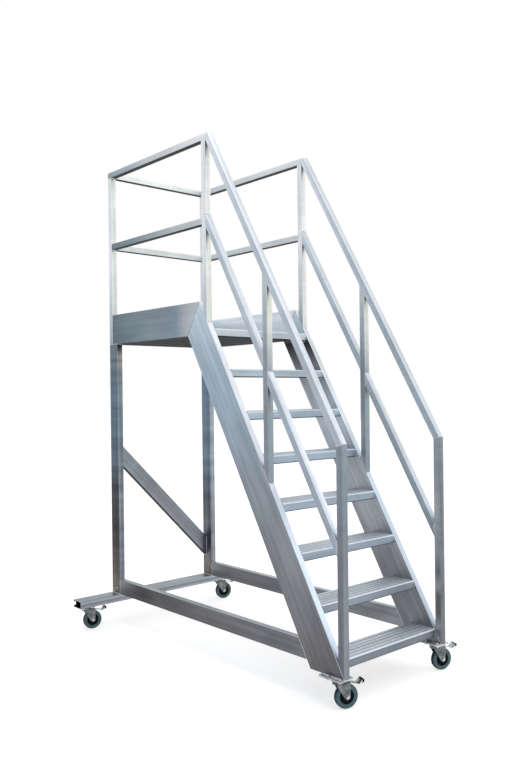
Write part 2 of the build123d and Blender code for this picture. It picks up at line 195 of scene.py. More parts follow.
def background_rays(wire):
    """1 where the background is seen directly, in metal or through glass, and 0 where it only gives light."""
    kinds = ("Camera", "Glossy", "Transmission")
    seen, mirrored, passed = [wire.node("ShaderNodeLightPath", output=f"Is {kind} Ray") for kind in kinds]
    return wire.node("ShaderNodeClamp", inputs={"Value": seen + mirrored + passed})


# %% [markdown]
# ## World, lamps and floor
# The object stands in a white room, so bare metal shows mostly white and its own colour. What lights the
# floor and the rubber is softer: a pale wall in front and to the right, and a dimmer one behind and to the
# left. Two large lamps put a soft shine on the faces that look forwards and up. The floor is pale and keeps
# the shadow.

# %% World
world = bpy.data.worlds.new("studio")
world.use_nodes = True
world.node_tree.nodes.clear()
bpy.context.scene.world = world
sky = Wire(world.node_tree)

pale_wall = (0.95, 0.94, 0.92)
dim_wall = (0.30, 0.33, 0.38)
wall_turn = math.radians(60.0)
wall_rise = 0.25
dim_until = -0.55
pale_from = 0.75
direction = sky.node("ShaderNodeTexCoord", output="Generated")
towards = sky.node(
    "ShaderNodeVectorMath",
    {"operation": "DOT_PRODUCT"},
    {0: direction, 1: (math.sin(wall_turn), -math.cos(wall_turn), wall_rise)},
    output="Value",
)
wall_colour = towards.step(dim_until, pale_from).blend(dim_wall, pale_wall)
white = sky.node("ShaderNodeBackground", inputs={"Color": (1.0, 1.0, 1.0), "Strength": 1.0})
walls = sky.node("ShaderNodeBackground", inputs={"Color": wall_colour, "Strength": 1.0})
sky.node(
    "ShaderNodeOutputWorld",
    inputs={"Surface": sky.node("ShaderNodeMixShader", inputs={0: background_rays(sky), 1: walls, 2: white})},
)

# %% Lamps
def area_lamp(name, place, target, size, power, colour):
    """A soft square lamp that faces a target."""
    data = bpy.data.lights.new(name, "AREA")
    data.size = size
    data.energy = power
    data.color = colour
    lamp = bpy.data.objects.new(name, data)
    bpy.context.scene.collection.objects.link(lamp)
    aim = Vector(target) - Vector(place)
    lamp.matrix_world = Matrix.Translation(place) @ aim.to_track_quat("-Z", "Y").to_matrix().to_4x4()


middle = (cad_box[0] + cad_box[1]) / 2
area_lamp("key_lamp", (3.0, -4.5, 4.0), middle, size=3.0, power=12.0, colour=(1.0, 0.98, 0.95))
area_lamp("top_lamp", (-0.5, -0.5, 6.5), middle, size=4.0, power=60.0, colour=(0.95, 0.98, 1.0))

# %% Floor
floor_size = 60.0
floor_colour = (0.82, 0.82, 0.82)
floor_glow = 0.6
bpy.ops.object.select_all(action="DESELECT")
bpy.ops.mesh.primitive_plane_add(size=floor_size, location=(0.0, 0.0, 0.0))
floor = bpy.context.active_object
floor.name = "floor"
floor_finish, wire = new_surface("floor_finish")
paper = wire.node("ShaderNodeBsdfDiffuse", inputs={"Color": floor_colour})
glow = wire.node("ShaderNodeEmission", inputs={"Color": (1.0, 1.0, 1.0), "Strength": floor_glow})
unlit = wire.node("ShaderNodeEmission", inputs={"Color": (0.0, 0.0, 0.0), "Strength": 0.0})
lift = wire.node("ShaderNodeMixShader", inputs={0: background_rays(wire), 1: unlit, 2: glow})
finish_surface(wire, wire.node("ShaderNodeAddShader", inputs={0: paper, 1: lift}))
floor.data.materials.append(floor_finish)

# %% [markdown]
# ## Mill finished aluminium
# Extruded profiles leave the press with fine lines and wide soft bands along their length, and pick up
# cloudy handling marks. The soft bars across the longer ones are painted reflections. The pattern is noise
# on coordinates turned so that their X lies along the profile and then stretched, so each way that a
# profile can run gets its own material. Bare metal also shows what stands around it, bright high up, and
# dim near the floor and between the parts. This white room is the same on all sides and can't show that. So
# the tone is read from tables of places, one for faces that look sideways and one for faces that look along
# the stairs. That light and shade is painted on, which is the price: it stays where it is when the lamps
# change.

# %% Mill finish
def turn_for(along):
    """Rotation, as three angles, that turns +X to lie along a direction."""
    return Vector(along).to_track_quat("X", "Z").to_euler()


def stretched_noise(wire, along, length, width, seed, detail=3.0):
    """Noise drawn out along a direction: features of that length and width in metres."""
    place = wire.node("ShaderNodeTexCoord", output="Object")
    mapped = wire.node(
        "ShaderNodeMapping",
        {"vector_type": "TEXTURE"},
        {
            "Vector": place,
            "Rotation": turn_for(along),
            "Scale": (length, width, width),
            "Location": (seed, seed, 0),
        },
    )
    return wire.node(
        "ShaderNodeTexNoise", inputs={"Vector": mapped, "Scale": 1.0, "Detail": detail, "Roughness": 0.55}
    )


def relief(wire, height, strength, depth):
    """A bump from a height, its full depth in metres."""
    return wire.node("ShaderNodeBump", inputs={"Strength": strength, "Distance": depth, "Height": height})


def part_of(wire, source, axis):
    """One coordinate of the place or the normal in the object's own frame."""
    vector = wire.node("ShaderNodeTexCoord", output=source)
    return wire.node("ShaderNodeSeparateXYZ", inputs={"Vector": vector}, output=axis)


def by_place(wire, axis, table):
    """The colour that a table of places in metres along an axis gives here."""
    low, high = table[0][0], table[-1][0]
    stops = [((place - low) / (high - low), colour) for place, colour in table]
    share = (part_of(wire, "Object", axis) - low) * (1 / (high - low))
    return wire.node("ShaderNodeValToRGB", {"stops": stops}, {"Fac": share})


def tone_here(wire, tone):
    """A plain colour as it stands, or the colour that a table of places gives here."""
    return by_place(wire, *tone) if isinstance(tone[0], str) else tone


def between(value, low, high):
    """1 where a value lies between two limits."""
    edge = 0.0002
    return value.step(low - edge, low + edge) * (1 - value.step(high - edge, high + edge))


def mill_finish(name, along, tones, marks, reflection_bars, rough=0.34, masks=()):
    """Bare extruded aluminium, its lines along a direction, and painted light and shade by place and facing.
    """
    material, wire = new_surface(name)
    lines = stretched_noise(wire, along, length=0.5, width=0.0016, seed=3.1)
    bands = stretched_noise(wire, along, length=1.8, width=0.024, seed=7.7, detail=2.0)
    clouds = stretched_noise(wire, along, length=0.35, width=0.12, seed=1.3, detail=2.0)
    # Soft bars across the profile are painted reflections.
    cross = stretched_noise(wire, along, length=0.045, width=3.0, seed=5.9, detail=1.0)
    reflection_share = 0.3 * reflection_bars
    pattern = lines * 0.25 + bands * 0.35 + clouds * (0.4 - reflection_share) + cross * reflection_share
    tone = pattern.step(0.36, 0.64)
    across = part_of(wire, "Normal", "X")
    upward = part_of(wire, "Normal", "Z")
    below = (0 - upward).step(0.3, 0.6)
    sideways = (across * across).step(0.4, 0.7)
    colour = sideways.blend(by_place(wire, *tones["front"]), by_place(wire, *tones["side"]))
    colour = upward.step(0.25, 0.45).blend(colour, tone_here(wire, tones["top"]))
    colour = below.blend(colour, tones["under"])
    for mask, shade in masks:
        colour = mask(wire).blend(colour, shade)
    dull = 1.0 - 0.24 * marks
    bright = 1.0 + 0.16 * marks
    metal = wire.node(
        "ShaderNodeBsdfPrincipled",
        inputs={
            "Base Color": colour.tint(tone.blend((dull, dull, dull), (bright, bright, bright))),
            "Metallic": 1 - 0.9 * below,
            "Roughness": rough + 0.12 * (1 - tone) + 0.45 * below,
            "Normal": relief(wire, lines, 0.2, 0.0001),
        },
    )
    finish_surface(wire, metal)
    return material


# %% [markdown]
# ## Tones of the profiles
# Each table names places in metres, up or along the stairs, and the colour there. `side` is for faces that
# look sideways and `front` for faces that look along the stairs. `top` is a plain colour or a table, and
# `under` a plain colour. The colours were fitted to a picture of the real stairs: some are its own colours
# at that place, and the others were changed until render and picture came near each other.
# Undersides are nearly black, as they lie in the stairs' own shade.

# %% Tones of rails and posts
# The tables paint reflections, light and shade onto the metal by place.
post_tones = {
    "side": ("Z", [
        (0.2, (0.15, 0.155, 0.18)), (0.7, (0.16, 0.175, 0.205)), (1.2, (0.21, 0.24, 0.28)),
        (1.8, (0.26, 0.30, 0.35)), (2.1, (0.45, 0.50, 0.55)), (2.5, (0.72, 0.74, 0.79)),
        (3.1, (0.74, 0.76, 0.80)),
    ]),
    "front": ("Z", [
        (0.3, (0.22, 0.24, 0.27)), (0.7, (0.20, 0.225, 0.255)), (1.2, (0.27, 0.325, 0.365)),
        (1.7, (0.34, 0.41, 0.43)), (2.0, (0.70, 0.73, 0.69)), (3.1, (0.72, 0.76, 0.73)),
    ]),
    "top": (0.72, 0.76, 0.80),
    "under": (0.03, 0.035, 0.035),
}
right_post_tones = dict(
    post_tones,
    side=("Z", [
        (0.19, (0.17, 0.16, 0.165)), (0.26, (0.44, 0.43, 0.47)), (0.34, (0.17, 0.165, 0.17)),
        (0.44, (0.20, 0.20, 0.205)), (0.49, (0.44, 0.46, 0.50)), (0.57, (0.22, 0.24, 0.265)),
        (0.9, (0.44, 0.48, 0.52)), (1.1, (0.34, 0.39, 0.43)),
    ]),
    front=("Z", [
        (0.3, (0.15, 0.165, 0.185)), (1.1, (0.20, 0.23, 0.26)), (1.7, (0.34, 0.41, 0.43)),
        (2.0, (0.66, 0.68, 0.65)),
    ]),
)
right_mid_post_tones = dict(
    post_tones,
    side=("Z", [
        (1.0, (0.24, 0.28, 0.32)), (1.7, (0.28, 0.33, 0.38)), (1.95, (0.44, 0.49, 0.54)),
        (2.3, (0.66, 0.68, 0.72)),
    ]),
)
slope_tones = {
    "side": ("Z", [
        (0.3, (0.24, 0.28, 0.32)), (1.0, (0.32, 0.37, 0.43)), (1.5, (0.36, 0.42, 0.49)),
        (1.9, (0.44, 0.50, 0.57)), (2.3, (0.46, 0.53, 0.60)), (3.1, (0.64, 0.69, 0.76)),
    ]),
    "front": ("Z", [(0.3, (0.66, 0.71, 0.76)), (3.1, (0.74, 0.77, 0.80))]),
    "top": ("Z", [
        (0.7, (0.60, 0.70, 0.82)), (1.2, (0.78, 0.83, 0.92)), (2.3, (0.78, 0.82, 0.89)),
        (3.1, (0.70, 0.75, 0.80)),
    ]),
    "under": (0.015, 0.035, 0.035),
}
handrail_tones = dict(
    slope_tones,
    side=("Z", [
        (0.3, (0.24, 0.28, 0.32)), (1.0, (0.36, 0.42, 0.47)), (1.5, (0.44, 0.50, 0.56)),
        (2.3, (0.46, 0.53, 0.60)), (3.1, (0.64, 0.69, 0.76)),
    ]),
)
right_slope_tones = dict(
    handrail_tones,
    top=("Z", [(0.7, (0.58, 0.66, 0.75)), (1.6, (0.68, 0.73, 0.79)), (3.1, (0.66, 0.71, 0.77))]),
    front=("Z", [(0.3, (0.5, 0.56, 0.62)), (3.1, (0.6, 0.65, 0.7))]),
)
top_rail_tones = {
    "side": ("Y", [
        (0.0, (0.76, 0.78, 0.82)), (0.5, (0.56, 0.59, 0.64)), (1.06, (0.30, 0.38, 0.43)),
    ]),
    "front": ("Z", [(3.1, (0.70, 0.73, 0.74)), (3.2, (0.70, 0.73, 0.74))]),
    "top": (0.78, 0.80, 0.82),
    "under": (0.03, 0.035, 0.035),
}
mid_rail_tones = dict(
    top_rail_tones,
    side=("Y", [
        (0.0, (0.62, 0.66, 0.69)), (0.5, (0.31, 0.38, 0.42)), (1.06, (0.14, 0.20, 0.23)),
    ]),
)
right_rail_tones = dict(
    top_rail_tones,
    side=("Y", [(0.0, (0.64, 0.68, 0.72)), (1.06, (0.56, 0.62, 0.65))]),
)

# %% Tones of stringers and boards
stringer_tones = {
    "side": ("Z", [
        (0.2, (0.135, 0.13, 0.14)), (0.65, (0.20, 0.21, 0.23)), (1.1, (0.25, 0.29, 0.335)),
        (1.6, (0.31, 0.40, 0.48)), (1.95, (0.44, 0.53, 0.62)), (2.15, (0.52, 0.60, 0.69)),
    ]),
    "front": ("Z", [(0.2, (0.56, 0.64, 0.73)), (2.15, (0.60, 0.68, 0.77))]),
    "top": ("Z", [
        (0.2, (0.56, 0.67, 0.80)), (1.0, (0.70, 0.78, 0.89)), (1.6, (0.84, 0.87, 0.94)),
        (2.15, (0.86, 0.89, 0.95)),
    ]),
    "under": (0.10, 0.10, 0.11),
}
# The dark band just below the deck's level is the deck's painted shadow, and it lies on both faces.
inner_stringer_tones = {
    "side": ("Z", [
        (0.3, (0.20, 0.21, 0.23)), (1.0, (0.29, 0.31, 0.34)), (1.45, (0.38, 0.44, 0.50)),
        (1.75, (0.24, 0.26, 0.29)), (1.93, (0.05, 0.05, 0.055)), (1.99, (0.52, 0.60, 0.68)),
        (2.15, (0.60, 0.68, 0.76)),
    ]),
    "front": ("Z", [(0.2, (0.52, 0.60, 0.66)), (2.15, (0.56, 0.63, 0.70))]),
    "top": ("Z", [
        (0.2, (0.54, 0.62, 0.72)), (1.0, (0.60, 0.69, 0.79)), (1.4, (0.72, 0.80, 0.88)),
        (2.15, (0.80, 0.84, 0.90)),
    ]),
    "under": (0.10, 0.10, 0.11),
}
board_tones = {
    "side": ("Y", [
        (-0.05, (0.54, 0.55, 0.58)), (0.1, (0.45, 0.48, 0.51)), (0.2, (0.37, 0.40, 0.44)),
        (0.3, (0.22, 0.285, 0.35)), (0.42, (0.21, 0.26, 0.31)), (0.6, (0.205, 0.26, 0.30)),
        (1.06, (0.115, 0.165, 0.20)),
    ]),
    "front": ("Z", [(1.9, (0.25, 0.30, 0.34)), (2.15, (0.45, 0.50, 0.55))]),
    "top": (0.66, 0.70, 0.75),
    "under": (0.06, 0.06, 0.06),
}
inner_board_tones = {
    "side": ("Z", [(1.9, (0.78, 0.86, 0.94)), (2.15, (0.82, 0.88, 0.95))]),
    "front": ("Z", [(1.9, (0.50, 0.56, 0.60)), (2.15, (0.60, 0.64, 0.68))]),
    "top": (0.70, 0.74, 0.79),
    "under": (0.06, 0.06, 0.06),
}

# %% Tones of the legs and what lies on the floor
leg_tones = {
    "side": ("Z", [
        (0.2, (0.17, 0.145, 0.135)), (0.45, (0.07, 0.062, 0.060)), (0.65, (0.035, 0.034, 0.036)),
        (0.95, (0.045, 0.05, 0.06)), (1.15, (0.10, 0.14, 0.185)), (1.75, (0.11, 0.155, 0.205)),
        (1.95, (0.16, 0.21, 0.255)),
    ]),
    "front": ("Z", [
        (0.2, (0.30, 0.34, 0.39)), (0.5, (0.23, 0.26, 0.30)), (0.9, (0.27, 0.29, 0.32)),
        (1.4, (0.25, 0.32, 0.38)), (1.75, (0.36, 0.40, 0.42)), (1.86, (0.68, 0.63, 0.57)),
        (1.93, (0.09, 0.08, 0.075)),
    ]),
    "top": (0.5, 0.5, 0.5),
    "under": (0.06, 0.06, 0.06),
}
right_leg_tones = dict(
    leg_tones,
    side=("Z", [
        (0.2, (0.15, 0.13, 0.125)), (0.5, (0.15, 0.155, 0.17)), (0.8, (0.07, 0.08, 0.10)),
        (1.1, (0.12, 0.165, 0.22)), (1.9, (0.13, 0.19, 0.25)),
    ]),
    front=("Z", [
        (0.3, (0.24, 0.26, 0.29)), (0.6, (0.20, 0.22, 0.245)), (1.4, (0.32, 0.37, 0.42)),
        (1.9, (0.28, 0.31, 0.34)),
    ]),
)
base_rail_tones = {
    "side": ("Y", [
        (-0.75, (0.17, 0.175, 0.19)), (-0.3, (0.15, 0.15, 0.165)), (0.2, (0.11, 0.108, 0.115)),
        (0.7, (0.105, 0.10, 0.105)), (0.99, (0.21, 0.21, 0.22)),
    ]),
    "front": ("Z", [(0.2, (0.34, 0.37, 0.41)), (0.31, (0.34, 0.37, 0.41))]),
    "top": (0.36, 0.40, 0.43),
    "under": (0.05, 0.05, 0.05),
}
right_base_rail_tones = dict(
    base_rail_tones,
    side=("Y", [
        (-0.75, (0.23, 0.24, 0.26)), (0.3, (0.14, 0.145, 0.16)), (0.99, (0.22, 0.22, 0.235)),
    ]),
)
beam_tones = {
    "side": ("Z", [(0.15, (0.30, 0.31, 0.32)), (0.21, (0.34, 0.35, 0.36))]),
    "front": ("Z", [
        (0.155, (0.36, 0.37, 0.41)), (0.168, (0.32, 0.33, 0.37)), (0.178, (0.22, 0.25, 0.28)),
        (0.192, (0.36, 0.40, 0.46)), (0.205, (0.31, 0.36, 0.39)),
    ]),
    "top": (0.30, 0.35, 0.37),
    "under": (0.05, 0.05, 0.05),
}
brace_tones = {
    "side": ("Z", [(0.6, (0.2, 0.2, 0.2)), (1.3, (0.2, 0.2, 0.2))]),
    "front": ("Z", [
        (0.5, (0.20, 0.22, 0.255)), (0.9, (0.25, 0.27, 0.29)), (1.25, (0.31, 0.36, 0.41)),
    ]),
    "top": (0.34, 0.36, 0.37),
    "under": (0.03, 0.03, 0.03),
}

# %% Tones of the steps
step_tones = {
    "side": ("Z", [(0.2, (0.4, 0.4, 0.42)), (2.0, (0.4, 0.4, 0.42))]),
    "front": ("Z", [
        (0.2, (0.21, 0.235, 0.275)), (0.7, (0.35, 0.41, 0.485)), (1.25, (0.44, 0.53, 0.62)),
        (1.7, (0.48, 0.56, 0.63)), (2.0, (0.58, 0.64, 0.67)),
    ]),
    "top": (0.80, 0.87, 0.94),
    "under": (0.012, 0.013, 0.013),
}
# The groove floors get painted light, about as pale as the tops, and two grooves a step get painted shade.
groove_painted_light = (0.78, 0.86, 0.94)
groove_painted_shade = (0.05, 0.08, 0.13)
groove_depth = 0.0018
groove_slack = 0.0006
shade_near = (0.080, 0.092)
shade_far = (0.146, 0.158)
climb_angle = math.radians(60.0)
deck_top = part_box("platform_deck")[1].z
lowest_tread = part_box("tread_1")
tread_count = 7
step_rise = (deck_top - lowest_tread[1].z) / tread_count


def groove_floors(wire):
    """1 on the floors of the grooves, which lie a little below the tops of the steps and the deck."""
    depth = wire.sum("MODULO", deck_top + step_rise - part_of(wire, "Object", "Z"), step_rise)
    level = part_of(wire, "Normal", "Z").step(0.8, 0.9)
    return between(depth, groove_depth - groove_slack, groove_depth + groove_slack) * level


def shaded_grooves(wire):
    """1 in the two grooves of each step that get painted shade, some way behind its nose."""
    climbed = (part_of(wire, "Object", "Z") + groove_depth - lowest_tread[1].z) * (1 / math.tan(climb_angle))
    behind = part_of(wire, "Object", "Y") - lowest_tread[0].y - climbed
    return groove_floors(wire) * (between(behind, *shade_near) + between(behind, *shade_far))


beam_low, beam_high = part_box("rear_beam")
beam_wall = 0.004


def inside_of_beam(wire):
    """1 on the inner faces of the rear beam, where no light reaches."""
    inner = beam_wall - 0.0005
    deep = between(part_of(wire, "Object", "Y"), beam_low.y + inner, beam_high.y - inner)
    return deep * between(part_of(wire, "Object", "Z"), beam_low.z + inner, beam_high.z - inner)


# %% [markdown]
# ## Dressing the frame
# A CAD node keeps its mesh. Only the material in its slot changes, chosen by how the node's name starts.

# %% Dressing
upright = (0.0, 0.0, 1.0)
lengthwise = (0.0, 1.0, 0.0)
crosswise = (1.0, 0.0, 0.0)
climbing = (0.0, math.cos(climb_angle), math.sin(climb_angle))
falling = (1.0, 0.0, -1.0)
grooves = [(groove_floors, groove_painted_light), (shaded_grooves, groove_painted_shade)]
dark_inside = [(inside_of_beam, (0.006, 0.006, 0.007))]
# Name, direction, tones, strength of marks, share of painted reflection bars, and how the nodes' names start
mill_finishes = [
    ("mill_handrail", climbing, handrail_tones, 0.7, 0.3, ["handrail_left"]),
    ("mill_rail_slope", climbing, slope_tones, 0.7, 0.3, ["slope_rail_upper_left", "slope_rail_lower_left"]),
    ("mill_rail_slope_right", climbing, right_slope_tones, 0.7, 0.3, ["handrail", "slope_rail"]),
    ("mill_rail_cross", crosswise, top_rail_tones, 0.7, 0.3, ["top_rail_rear", "mid_rail_rear"]),
    ("mill_rail_right", lengthwise, right_rail_tones, 0.7, 0.3, ["top_rail_right", "mid_rail_right"]),
    ("mill_rail_top", lengthwise, top_rail_tones, 0.7, 0.3, ["top_rail"]),
    ("mill_rail_mid", lengthwise, mid_rail_tones, 0.7, 0.3, ["mid_rail"]),
    ("mill_post_right", upright, right_post_tones, 0.8, 0.8, ["stair_post_low_right"]),
    ("mill_post_middle", upright, right_mid_post_tones, 0.6, 0.5, ["stair_post_mid_right"]),
    ("mill_post", upright, post_tones, 0.6, 0.5, ["guard_post", "stair_post"]),
    ("mill_stringer", climbing, stringer_tones, 0.75, 0.0, ["stringer_left"]),
    ("mill_stringer_right", climbing, inner_stringer_tones, 0.9, 0.0, ["stringer_right"]),
    ("mill_board", lengthwise, board_tones, 0.5, 0.0, ["side_board_left"]),
    ("mill_board_right", lengthwise, inner_board_tones, 0.5, 0.0, ["side_board_right"]),
    ("mill_board_cross", crosswise, inner_board_tones, 0.9, 0.0, ["rear_board"]),
    ("mill_leg_right", upright, right_leg_tones, 1.2, 1.0, ["rear_leg_right"]),
    ("mill_leg", upright, leg_tones, 1.5, 1.0, ["rear_leg"]),
    ("mill_base_rail_right", lengthwise, right_base_rail_tones, 1.0, 0.0, ["base_rail_right"]),
    ("mill_base_rail", lengthwise, base_rail_tones, 1.0, 0.0, ["base_rail"]),
    ("mill_beam", crosswise, beam_tones, 0.8, 0.2, ["rear_beam"]),
    ("mill_brace", falling, brace_tones, 0.9, 0.4, ["rear_brace"]),
    ("mill_step", crosswise, step_tones, 0.5, 0.2, ["tread", "platform"]),
]
extras = {"mill_beam": {"masks": dark_inside}, "mill_step": {"masks": grooves, "rough": 0.5}}


def dress(node, finish):
    """Gives a CAD node a finish through its material slot."""
    shown = frame["nodes"][node]
    if not shown.material_slots:
        shown.data.materials.append(finish)
    for slot in shown.material_slots:
        slot.material = finish


dressed = set()
mill = {}
for name, along, tones, marks, reflection_bars, starts in mill_finishes:
    mill[name] = mill_finish(name, along, tones, marks, reflection_bars, **extras.get(name, {}))
    for node in sorted(frame["nodes"]):
        if node not in dressed and node.startswith(tuple(starts)):
            dress(node, mill[name])
            dressed.add(node)
print(len(dressed), "nodes in mill finish")

# %% [markdown]
# ## Caster finishes
# Zinc plated steel is cloudy grey with brighter spots, the wheel centres are black nylon and the tyres
# blue-grey rubber, darker where they run on the floor. The foot plates are paler and more blotched. All are
# speckled the same way in every direction, so they share one function.

# %% Zinc, nylon and rubber
def plain_finish(name, dark, light, rough, metallic, size, shine=0.5):
    """A cloudy finish between two colours, the clouds as large as size."""
    material, wire = new_surface(name)
    clouds = stretched_noise(wire, crosswise, size, size, 4.2)
    grain = stretched_noise(wire, crosswise, 0.0012, 0.0012, 2.6)
    tone = (clouds * 0.8 + grain * 0.2).step(0.32, 0.68)
    shader = wire.node(
        "ShaderNodeBsdfPrincipled",
        inputs={
            "Base Color": tone.blend(dark, light),
            "Metallic": metallic,
            "Roughness": rough + 0.12 * clouds,
            "Specular IOR Level": shine,
            "Normal": relief(wire, grain, 0.15, 0.0002),
        },
    )
    finish_surface(wire, shader)
    return material


# Dark and light tone, roughness, metallic, size of the clouds in metres, and specular level if it isn't 0.5
zinc = plain_finish("zinc_plate", (0.09, 0.10, 0.105), (0.23, 0.245, 0.245), 0.32, 1.0, 0.03)
bright_zinc = plain_finish("bright_zinc", (0.42, 0.44, 0.46), (0.74, 0.76, 0.78), 0.25, 1.0, 0.012)
nylon = plain_finish("black_nylon", (0.003, 0.003, 0.004), (0.008, 0.008, 0.010), 0.5, 0.0, 0.01, 0.15)
rubber = plain_finish("grey_rubber", (0.075, 0.140, 0.155), (0.12, 0.20, 0.215), 0.65, 0.0, 0.02, 0.3)
worn_rubber = plain_finish("worn_rubber", (0.022, 0.032, 0.036), (0.05, 0.07, 0.078), 0.75, 0.0, 0.02, 0.3)
plate_finish = plain_finish("plate_finish", (0.34, 0.37, 0.40), (0.86, 0.90, 0.94), 0.45, 0.35, 0.025)
weld_metal = plain_finish("weld_metal", (0.40, 0.42, 0.45), (0.80, 0.82, 0.85), 0.32, 1.0, 0.006)
seam_metal = plain_finish("seam_metal", (0.05, 0.06, 0.07), (0.14, 0.17, 0.19), 0.5, 1.0, 0.006)
dress("caster_plates", zinc)
dress("foot_plate_left", plate_finish)
dress("foot_plate_right", plate_finish)
for node in frame["nodes"]:
    if node.startswith("caster_fork"):
        dress(node, zinc)

# %% [markdown]
# ## Turned pieces
# Tyres, wheel centres, washers, nuts and weld beads are all round about a line. A lathe would turn them
# from a bar. Here a circle is added and pulled from ring to ring, scaled a little each time, which gives
# full control over every step of the profile and leaves a closed mesh.

# %% Turning
MM = 0.001
merge_distance = 0.01 * MM
smooth_angle = math.radians(32.0)


def turned(name, rings, segments, hollow=False):
    """A piece turned about Z from rings of a radius and a height in millimetres. A hollow one is closed."""
    bpy.ops.object.select_all(action="DESELECT")
    fill = "NOTHING" if hollow else "NGON"
    radius, height = rings[0]
    bpy.ops.mesh.primitive_circle_add(
        vertices=segments, radius=radius * MM, location=(0.0, 0.0, height * MM), fill_type=fill
    )
    piece = bpy.context.active_object
    piece.name = name
    bpy.ops.object.transform_apply(location=True)
    bpy.ops.object.mode_set(mode="EDIT")
    bpy.ops.mesh.select_all(action="SELECT")
    for next_radius, next_height in rings[1:] + (rings[:1] if hollow else []):
        scale = next_radius / radius
        bpy.ops.mesh.extrude_region_move(
            TRANSFORM_OT_translate={"value": (0.0, 0.0, (next_height - height) * MM)}
        )
        bpy.ops.transform.resize(value=(scale, scale, 1.0), center_override=(0.0, 0.0, 0.0))
        radius, height = next_radius, next_height
    bpy.ops.mesh.select_all(action="SELECT")
    bpy.ops.mesh.remove_doubles(threshold=merge_distance)
    bpy.ops.mesh.normals_make_consistent(inside=False)
    bpy.ops.object.mode_set(mode="OBJECT")
    bpy.ops.object.shade_smooth_by_angle(angle=smooth_angle)
    return piece


def placed(pattern, name, places, body, slot, *finishes):
    """Copies of a pattern at some places, joined to one piece with its own mesh, riding on a body."""
    copies = []
    for place in places:
        copy = bpy.data.objects.new(name, pattern.data.copy())
        bpy.context.scene.collection.objects.link(copy)
        copy.data.transform(place)
        copies.append(copy)
    bpy.ops.object.select_all(action="DESELECT")
    for copy in copies:
        copy.select_set(True)
    bpy.context.view_layer.objects.active = copies[0]
    if len(copies) > 1:
        bpy.ops.object.join()
    piece = bpy.context.active_object
    piece.name = name
    for finish in finishes:
        piece.data.materials.append(finish)
    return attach(piece, body)


def at(x, y, z):
    """A move by millimetres."""
    return Matrix.Translation((x * MM, y * MM, z * MM))


# %% [markdown]
# ## Where the casters are
# Each caster has its own frame: its origin on the floor under the kingpin, X along the trailing side and Z
# up. The frame's joints say where the kingpins and axles are, so nothing is measured twice.

# %% Caster frames
joints = {joint["name"]: joint for joint in frame["joints"]}
caster_names = ["front_left", "front_right", "rear_left", "rear_right"]
caster_frames = {}
for name in caster_names:
    kingpin = Vector(joints[f"swivel_{name}"]["pos_m"])
    axle = Vector(joints[f"roll_{name}"]["pos_m"])
    turn = math.atan2(axle.y - kingpin.y, axle.x - kingpin.x)
    trail = (axle.xy - kingpin.xy).length / MM
    axle_height = axle.z / MM
    caster_frames[name] = Matrix.Translation((kingpin.x, kingpin.y, 0.0)) @ Matrix.Rotation(turn, 4, "Z")
    print(name, "turned", round(math.degrees(turn), 1), "degrees, trail", round(trail, 1), "mm")
# Turned pieces stand on Z, and the axle lies along the caster's Y
axle_turn = Matrix.Rotation(math.radians(90.0), 4, "X")

# %% [markdown]
# ## Tyres
# A grey rubber tyre has a nearly flat tread, rounded shoulders, and a thin raised ring on each side wall
# where the mould parts. It replaces the plain ring of the frame, in the same place.

# %% Tyres
def both_sides(half):
    """A closed profile from one half, mirrored about the middle plane."""
    return half + [(radius, -height) for radius, height in reversed(half)]


tyre_half = [
    (39.5, 12.6), (41.5, 13.6), (44.0, 14.2), (46.5, 14.5), (50.5, 14.5), (51.2, 15.0), (54.4, 15.0),
    (55.2, 14.4), (57.8, 13.9), (60.3, 12.6), (61.8, 10.4), (62.4, 7.5), (62.5, 4.0),
]
tyre_pattern = turned("tyre_pattern", both_sides(tyre_half), 72, hollow=True)
running_radius = 60.3
for face in tyre_pattern.data.polygons:
    face.material_index = 1 if face.center.xy.length > running_radius * MM else 0
for name in caster_names:
    tyre = placed(
        tyre_pattern, f"tyre_{name}", [caster_frames[name] @ at(trail, 0.0, axle_height) @ axle_turn],
        f"wheel_{name}", "grey_rubber", rubber, worn_rubber,
    )
    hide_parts(f"caster_tyre_{name}")
print("a tyre has", len(tyre.data.polygons), "faces")

# %% [markdown]
# ## Wheel centres
# The moulded nylon centre has a rim, a deeply recessed web and a hub boss with a bearing in it. Short ribs
# tie the boss to the rim on both sides. The ribs are cubes shaped thin and set round the axle, and they
# sink into the rim and the boss so that no gap shows.

# %% Wheel centres
centre_half = [
    (5.1, 18.6), (7.6, 18.6), (8.0, 19.5), (11.0, 19.5), (11.4, 18.9), (14.2, 18.9), (15.0, 18.0),
    (16.2, 6.4), (18.0, 5.2), (32.5, 5.2), (34.2, 6.2), (35.4, 11.8), (36.4, 13.0), (39.5, 13.0),
]
centre_pattern = turned("centre_pattern", both_sides(centre_half), 56, hollow=True)
rib_count = 8
bpy.ops.object.select_all(action="DESELECT")
bpy.ops.mesh.primitive_cube_add(size=MM, location=(0.0, 0.0, 0.0))
rib_pattern = bpy.context.active_object
bpy.ops.object.mode_set(mode="EDIT")
bpy.ops.transform.resize(value=(20.0, 2.4, 21.0))
bpy.ops.mesh.bevel(offset=0.5 * MM, segments=2, affect="EDGES")
bpy.ops.transform.translate(value=(25.6 * MM, 0.0, 0.0))
bpy.ops.object.mode_set(mode="OBJECT")
for name in caster_names:
    centre_place = caster_frames[name] @ at(trail, 0.0, axle_height) @ axle_turn
    centre = placed(
        centre_pattern, f"wheel_centre_{name}", [centre_place], f"wheel_{name}", "black_nylon", nylon
    )
    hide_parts(f"caster_wheel_{name}")
    turns = [Matrix.Rotation(math.tau * k / rib_count, 4, "Z") for k in range(rib_count)]
    placed(
        rib_pattern, f"wheel_ribs_{name}", [centre_place @ turn for turn in turns],
        f"wheel_{name}", "black_nylon", nylon,
    )
print("a wheel centre has", rib_count, "ribs a side")

